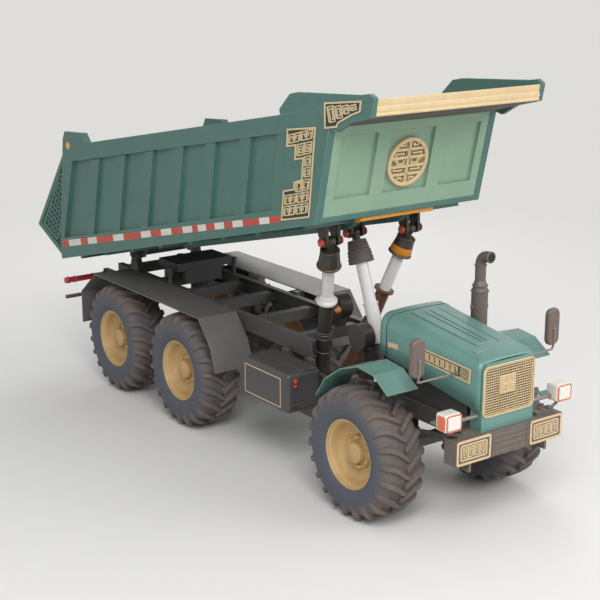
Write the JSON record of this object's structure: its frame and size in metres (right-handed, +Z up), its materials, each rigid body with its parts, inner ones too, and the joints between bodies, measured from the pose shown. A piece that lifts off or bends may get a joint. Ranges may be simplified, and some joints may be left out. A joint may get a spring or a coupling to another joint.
{
  "type": "six-wheeled tipping dump truck",
  "caption": "Six-wheeled dump truck with a raised open bed, hoist rams, bonnet, grille and lugged tyres; the bed tips, the bonnet lifts, the front wheels steer.",
  "frame": {"origin": "centre of the whole truck's box, on the ground", "axes": "+X forward, +Y to the truck's left, +Z up"},
  "size_m": [9.1468, 2.5, 4.8459],
  "materials": {
    "paint_green": "satin",
    "paint_green_pale": "satin",
    "paint_dark_green": "satin",
    "rim_cream": "satin",
    "trim_cream": "satin",
    "tyre": "matte",
    "frame_grey": "satin",
    "panel_grey": "satin",
    "bumper_grey": "satin",
    "exhaust_brown": "satin",
    "mirror_brown": "matte",
    "lamp_white": "gloss",
    "lamp_red": "gloss",
    "ram_white": "satin",
    "ram_dark": "satin"
  },
  "bodies": {
    "chassis": {"air_tanks": "frame_grey", "bed_saddle": "frame_grey", "bumper": "bumper_grey", "chassis_frame": "frame_grey", "drive_shaft": "frame_grey", "engine": "frame_grey", "exhaust": "exhaust_brown", "firewall": "frame_grey", "front_axle": "frame_grey", "grille": "trim_cream", "headlamps": "lamp_white", "hoist_cradle": "frame_grey", "nose_shell": "paint_green", "rear_axles": "frame_grey", "rear_fenders": "panel_grey", "springs": "frame_grey", "tail_lights": "lamp_red", "tool_boxes": "panel_grey"},
    "bed": {"bed_canopy": "paint_green", "bed_floor": "paint_green", "bed_headboard": "paint_green_pale", "bed_side_left": "paint_green", "bed_side_right": "paint_green", "hoist_ears": "ram_dark"},
    "bonnet": {"bonnet": "paint_green", "mirrors": "mirror_brown"},
    "ram_centre_head": {"ram_centre_head": "ram_white"},
    "ram_centre_middle": {"ram_centre_middle": "ram_white"},
    "ram_centre_barrel": {"ram_centre_barrel": "ram_dark"},
    "ram_left_head": {"ram_left_head": "ram_white"},
    "ram_left_middle": {"ram_left_middle": "ram_white"},
    "ram_left_barrel": {"ram_left_barrel": "ram_dark"},
    "ram_right_head": {"ram_right_head": "ram_white"},
    "ram_right_middle": {"ram_right_middle": "ram_white"},
    "ram_right_barrel": {"ram_right_barrel": "ram_dark"},
    "knuckle_left": {"knuckle_left": "paint_dark_green", "front_fender_left": "paint_green"},
    "knuckle_right": {"knuckle_right": "paint_dark_green", "front_fender_right": "paint_green"},
    "wheel_front_left": {"tyre_front_left": "tyre", "wheel_front_left": "rim_cream"},
    "wheel_front_right": {"tyre_front_right": "tyre", "wheel_front_right": "rim_cream"},
    "wheel_middle_left": {"tyre_middle_left": "tyre", "wheel_middle_left": "rim_cream"},
    "wheel_middle_right": {"tyre_middle_right": "tyre", "wheel_middle_right": "rim_cream"},
    "wheel_rear_left": {"tyre_rear_left": "tyre", "wheel_rear_left": "rim_cream"},
    "wheel_rear_right": {"tyre_rear_right": "tyre", "wheel_rear_right": "rim_cream"}
  },
  "joints": [
    {"name": "bed_tilt", "type": "hinge", "parent": "chassis", "child": "bed", "pos_m": [-2.74558, 0, 1.85], "axis": [0, -1, 0], "range_deg": [-12, 12]},
    {"name": "bonnet_lift", "type": "hinge", "parent": "chassis", "child": "bonnet", "pos_m": [2.97442, 0, 2.215], "axis": [0, -1, 0], "range_deg": [0, 40]},
    {"name": "ram_centre_swing", "type": "hinge", "parent": "bed", "child": "ram_centre_head", "pos_m": [1.79842, 0, 2.923], "axis": [0, -1, 0], "range_deg": [-15.2, 15.2]},
    {"name": "ram_centre_middle_slide", "type": "slide", "parent": "ram_centre_head", "child": "ram_centre_middle", "axis": [0.3634, 0, -0.9317], "range_m": [-0.475, 0.475]},
    {"name": "ram_centre_barrel_slide", "type": "slide", "parent": "ram_centre_middle", "child": "ram_centre_barrel", "axis": [0.3634, 0, -0.9317], "range_m": [-0.475, 0.475]},
    {"name": "ram_left_swing", "type": "hinge", "parent": "bed", "child": "ram_left_head", "pos_m": [2.11442, 0.612, 2.95], "axis": [0.9151, -0.3094, -0.2584], "range_deg": [-4.2, 4.2]},
    {"name": "ram_left_middle_slide", "type": "slide", "parent": "ram_left_head", "child": "ram_left_middle", "axis": [-0.3246, -0.1855, -0.9275], "range_m": [-0.428, 0.428]},
    {"name": "ram_left_barrel_slide", "type": "slide", "parent": "ram_left_middle", "child": "ram_left_barrel", "axis": [-0.3246, -0.1855, -0.9275], "range_m": [-0.428, 0.428]},
    {"name": "ram_right_swing", "type": "hinge", "parent": "bed", "child": "ram_right_head", "pos_m": [2.11442, -0.612, 2.95], "axis": [-0.9151, -0.3094, 0.2584], "range_deg": [-4.2, 4.2]},
    {"name": "ram_right_middle_slide", "type": "slide", "parent": "ram_right_head", "child": "ram_right_middle", "axis": [-0.3246, 0.1855, -0.9275], "range_m": [-0.428, 0.428]},
    {"name": "ram_right_barrel_slide", "type": "slide", "parent": "ram_right_middle", "child": "ram_right_barrel", "axis": [-0.3246, 0.1855, -0.9275], "range_m": [-0.428, 0.428]},
    {"name": "steer_left", "type": "hinge", "parent": "chassis", "child": "knuckle_left", "pos_m": [3.22442, 0.56, 0.777], "axis": [0, 0, 1], "range_deg": [-22, 22]},
    {"name": "steer_right", "type": "hinge", "parent": "chassis", "child": "knuckle_right", "pos_m": [3.22442, -0.56, 0.777], "axis": [0, 0, 1], "range_deg": [-22, 22]},
    {"name": "spin_front_left", "type": "hinge", "parent": "knuckle_left", "child": "wheel_front_left", "pos_m": [3.22442, 0.95, 0.777], "axis": [0, 1, 0], "continuous": true},
    {"name": "spin_front_right", "type": "hinge", "parent": "knuckle_right", "child": "wheel_front_right", "pos_m": [3.22442, -0.95, 0.777], "axis": [0, 1, 0], "continuous": true},
    {"name": "spin_middle_left", "type": "hinge", "parent": "chassis", "child": "wheel_middle_left", "pos_m": [-0.45758, 0.95, 0.777], "axis": [0, 1, 0], "continuous": true},
    {"name": "spin_middle_right", "type": "hinge", "parent": "chassis", "child": "wheel_middle_right", "pos_m": [-0.45758, -0.95, 0.777], "axis": [0, 1, 0], "continuous": true},
    {"name": "spin_rear_left", "type": "hinge", "parent": "chassis", "child": "wheel_rear_left", "pos_m": [-2.25758, 0.95, 0.777], "axis": [0, 1, 0], "continuous": true},
    {"name": "spin_rear_right", "type": "hinge", "parent": "chassis", "child": "wheel_rear_right", "pos_m": [-2.25758, -0.95, 0.777], "axis": [0, 1, 0], "continuous": true}
  ],
  "couplings": [
    {"joint": "ram_centre_swing", "follows": "bed_tilt", "ratio": -1.2561},
    {"joint": "ram_centre_middle_slide", "follows": "bed_tilt", "m_per_rad": 2.2625},
    {"joint": "ram_centre_barrel_slide", "follows": "bed_tilt", "m_per_rad": 2.2625},
    {"joint": "ram_left_swing", "follows": "bed_tilt", "ratio": 0.3354},
    {"joint": "ram_left_middle_slide", "follows": "bed_tilt", "m_per_rad": 2.0406},
    {"joint": "ram_left_barrel_slide", "follows": "bed_tilt", "m_per_rad": 2.0406},
    {"joint": "ram_right_swing", "follows": "bed_tilt", "ratio": 0.3354},
    {"joint": "ram_right_middle_slide", "follows": "bed_tilt", "m_per_rad": 2.0406},
    {"joint": "ram_right_barrel_slide", "follows": "bed_tilt", "m_per_rad": 2.0406},
    {"joint": "steer_right", "follows": "steer_left", "ratio": 1}
  ]
}
